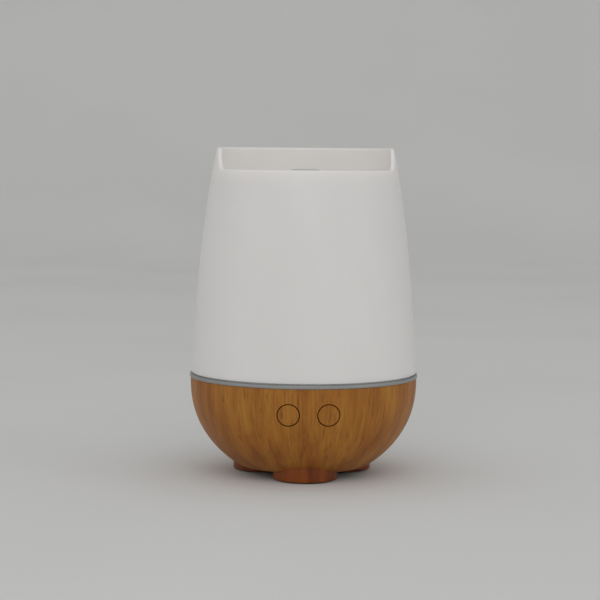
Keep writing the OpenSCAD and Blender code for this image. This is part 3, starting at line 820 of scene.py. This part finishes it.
def plated_disc():
    """Mist disc: plated metal with rings from turning and a patchy tone."""
    f = Finish("plated_disc", 0.25, 1.0)
    rings = f.node("ShaderNodeTexWave", wave_type="RINGS", rings_direction="Z", Scale=900,
                   Distortion=1.5, Detail=2)
    f.link(f.place, rings.inputs["Vector"])
    f.colour(f.mix(f.range(f.noise(220, 3), 0, 1, 0.35, 0.65), srgb(205, 200, 188), srgb(176, 168, 150)))
    f.rough(f.range(rings.outputs["Fac"], 0.2, 0.36))
    f.bump(rings.outputs["Fac"], 0.15, 0.01 * MM)
    return f.material


def solder_mask():
    """Green board: mask over straight copper tracks."""
    f = Finish("solder_mask", 0.28)
    grid = f.node("ShaderNodeTexBrick", Scale=220, offset=0.5)
    for key, value in (("Color1", (1, 1, 1, 1)), ("Color2", (0.9, 0.9, 0.9, 1)),
                       ("Mortar", (0, 0, 0, 1)), ("Mortar Size", 0.045), ("Brick Width", 1.6),
                       ("Row Height", 0.5)):
        grid.inputs[key].default_value = value
    f.link(f.place, grid.inputs["Vector"])
    mask = f.mix(f.range(f.noise(90, 3), 0, 1, 0.4, 0.6), srgb(20, 84, 44), srgb(14, 66, 36))
    f.colour(f.mix(grid.outputs["Fac"], mask, srgb(46, 122, 66)))
    f.bump(grid.outputs["Fac"], 0.3, 0.04 * MM)
    f.set(Coat_Weight=0.4, Coat_Roughness=0.12)
    return f.material


def winding():
    """Enamelled copper wire laid in level turns."""
    f = Finish("copper_winding", 0.3, 0.9)
    turns = f.node("ShaderNodeTexWave", wave_type="BANDS", bands_direction="Z", Scale=620,
                   Distortion=0.4)
    f.link(f.place, turns.inputs["Vector"])
    # Each turn goes from dark at its edges to bright on its crown: painted shade between the turns and a
    # painted highlight along each one.
    f.colour(f.mix(f.range(turns.outputs["Fac"], 0, 1), srgb(92, 40, 16), srgb(196, 104, 52)))
    f.bump(turns.outputs["Fac"], 0.8, 0.08 * MM)
    return f.material


FINISHES = {
    "cover_white": moulded("cover_white", srgb(235, 232, 230), srgb(231, 228, 226), 0.42, 1100, 0.015, 0.5),
    # The nozzle is toned greyer than the white cover: partly its own grey, partly painted shade that makes
    # it a faint dark sliver above the front lip.
    "nozzle_grey": moulded("nozzle_grey", srgb(196, 197, 194), srgb(189, 190, 187), 0.45),
    "lid_white": moulded("lid_white", srgb(236, 237, 236), srgb(229, 231, 230), 0.5, 1000, 0.02, 0.35),
    "tank_white": moulded("tank_white", srgb(233, 232, 229), srgb(226, 225, 221), 0.3, 1300, 0.01, 0.15),
    "seal_rubber": rubber("seal_rubber", srgb(52, 54, 56)),
    "ring_silver": silver_paint(),
    "wood_print": wood_print("wood_print", srgb(173, 116, 41), srgb(160, 101, 33), srgb(144, 86, 26)),
    # The feet's finish is a darker, redder copy of the wood print: partly the feet's own tone, partly
    # painted shade from under the bowl.
    "foot_print": wood_print("foot_print", srgb(138, 70, 12), srgb(124, 60, 9), srgb(106, 46, 6)),
    "plate_brown": moulded("plate_brown", srgb(78, 50, 30), srgb(64, 40, 24), 0.55, 700, 0.04),
    "pad_rubber": rubber("pad_rubber", srgb(44, 40, 37)),
    "screw_steel": metal("screw_steel", srgb(200, 200, 198), srgb(168, 168, 164), 0.32),
    "black_plastic": moulded("black_plastic", srgb(38, 38, 40), srgb(28, 28, 30), 0.45, 800, 0.03),
    "board_green": solder_mask(),
    "copper": winding(),
    "cap_sleeve": moulded("cap_sleeve", srgb(34, 38, 70), srgb(26, 30, 56), 0.28, 1500, 0.005),
    "heatsink_metal": metal("heatsink_metal", srgb(196, 198, 200), srgb(170, 172, 176), 0.4, (4, 60, 60)),
    "socket_ivory": moulded("socket_ivory", srgb(232, 226, 204), srgb(222, 214, 190), 0.4),
    "led_white": moulded("led_white", srgb(240, 234, 196), srgb(232, 224, 180), 0.18, 1500, 0.004),
    "disc_brass": plated_disc(),
    "wire_sleeve": moulded("wire_sleeve", srgb(176, 44, 36), srgb(156, 36, 30), 0.4, 1500, 0.01),
}


def dress(obj, slot, body, *nodes):
    """Gives a new piece its finish, its body and the CAD nodes that it stands for."""
    obj.data.materials.clear()
    obj.data.materials.append(FINISHES[slot])
    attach(obj, body)
    if nodes:
        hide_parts(*nodes)


# ---- camera, floor and light ------------------------------------------------------------

def camera():
    """Level with the top rim, looking slightly down and a little from the left."""
    distance, around, down = 0.9394, radians(-2.7), radians(4.46)
    aside, roll = atan(4.2 / 1952), radians(0.5)
    data = bpy.data.cameras.new("view")
    data.lens, data.sensor_width, data.clip_start = 117.1, 36, 0.05
    cam = bpy.data.objects.new("view", data)
    bpy.context.scene.collection.objects.link(cam)
    cam.matrix_world = (
        Matrix.Translation((distance * sin(around), -distance * cos(around), TOP_Z))
        @ Matrix.Rotation(around + aside, 4, "Z") @ Matrix.Rotation(pi / 2 - down, 4, "X")
        @ Matrix.Rotation(roll, 4, "Z")
    )
    bpy.context.scene.camera = cam


SWEEP_SIZE, SWEEP_BACK_Y, WALL_H, SWEEP_CURVE_R = 18, 3, 4, 1.4


def floor():
    """A pale seamless sweep: floor, curve and wall."""
    bpy.ops.object.select_all(action="DESELECT")
    bpy.ops.mesh.primitive_plane_add(size=SWEEP_SIZE, location=(0, SWEEP_BACK_Y - SWEEP_SIZE / 2, 0))
    sweep = settle(bpy.context.object, "floor_sweep")
    edit(sweep)
    bpy.ops.object.mode_set(mode="OBJECT")
    for e in sweep.data.edges:
        e.select = all(sweep.data.vertices[i].co.y > SWEEP_BACK_Y - 0.1 for i in e.vertices)
    bpy.ops.object.mode_set(mode="EDIT")
    bpy.ops.mesh.select_mode(type="EDGE")
    bpy.ops.mesh.extrude_region_move(TRANSFORM_OT_translate={"value": (0, 0, WALL_H)})
    done(sweep)
    for e in sweep.data.edges:
        e.select = all(abs(sweep.data.vertices[i].co.y - SWEEP_BACK_Y) < 0.01
                       and sweep.data.vertices[i].co.z < 0.01 for i in e.vertices)
    edit_mode_bevel(sweep, SWEEP_CURVE_R)
    f = Finish("floor_paper", 0.9)
    f.colour(f.mix(f.range(f.noise(3, 3), 0, 1, 0.4, 0.6), srgb(219, 219, 218), srgb(216, 216, 215)))
    f.bump(f.noise(400, 3), 0.1, 0.05 * MM)
    sweep.data.materials.append(f.material)
    smooth(sweep)


def edit_mode_bevel(obj, width):
    bpy.ops.object.mode_set(mode="EDIT")
    bpy.ops.mesh.bevel(offset=width, segments=24)
    bpy.ops.mesh.select_mode(type="VERT")
    done(obj)


def lamp(name, place, size, watts, aim=(0, 0, 0.08), tone=(1, 1, 1)):
    data = bpy.data.lights.new(name, "AREA")
    data.shape, data.size, data.energy, data.color = "DISK", size, watts, tone
    light = bpy.data.objects.new(name, data)
    bpy.context.scene.collection.objects.link(light)
    way = Vector(aim) - Vector(place)
    light.matrix_world = Matrix.Translation(place) @ way.to_track_quat("-Z", "Y").to_matrix().to_4x4()


def light():
    world = bpy.data.worlds.new("studio")
    bpy.context.scene.world = world
    world.use_nodes = True
    back = world.node_tree.nodes["Background"]
    back.inputs["Color"].default_value = (0.985, 0.985, 0.978, 1)
    back.inputs["Strength"].default_value = 0.625
    lamp("front_fill", (0.0, -1.5, 1.2), 1.6, 5.4)
    lamp("left_fill", (-1.3, -0.7, 0.5), 1.0, 0.8)
    lamp("right_fill", (1.3, -0.7, 0.5), 1.0, 0.8)
    bpy.context.scene.view_settings.view_transform = "Standard"


# ---- assembly ---------------------------------------------------------------------------

camera()
floor()
light()

for name, obj in frame["nodes"].items():
    slot = next(s["material_slot"] for s in frame["record"]["subparts"] if s["node"] == name)
    obj.data.materials.clear()
    obj.data.materials.append(FINISHES[slot])

dress(outer_cover(), "cover_white", "cover", "outer_cover")
dress(mist_nozzle(), "nozzle_grey", "cover", "mist_nozzle")
dress(inner_lid(), "lid_white", "lid", "inner_lid")
dress(water_tank(), "tank_white", "base", "water_tank")
dress(trim_ring(), "ring_silver", "base", "trim_ring")
dress(base_bowl(), "wood_print", "base", "base_bowl")
dress(inlet_collar(), "wood_print", "base")
dress(button("button_cap_left", -BUTTON_X, 0.1 * MM), "wood_print", "left_button", "button_left")
dress(button("button_cap_right", BUTTON_X, 0.3 * MM), "wood_print", "right_button", "button_right")
for foot, node in zip(feet(), ("foot_front", "foot_left", "foot_right")):
    dress(foot, "foot_print", "base", node)
dress(foot_pads(), "pad_rubber", "base", "foot_pads")
dress(bottom_plate(), "plate_brown", "base", "bottom_plate")
dress(mist_disc(), "disc_brass", "base", "piezo_disc")

bpy.ops.object.select_all(action="DESELECT")
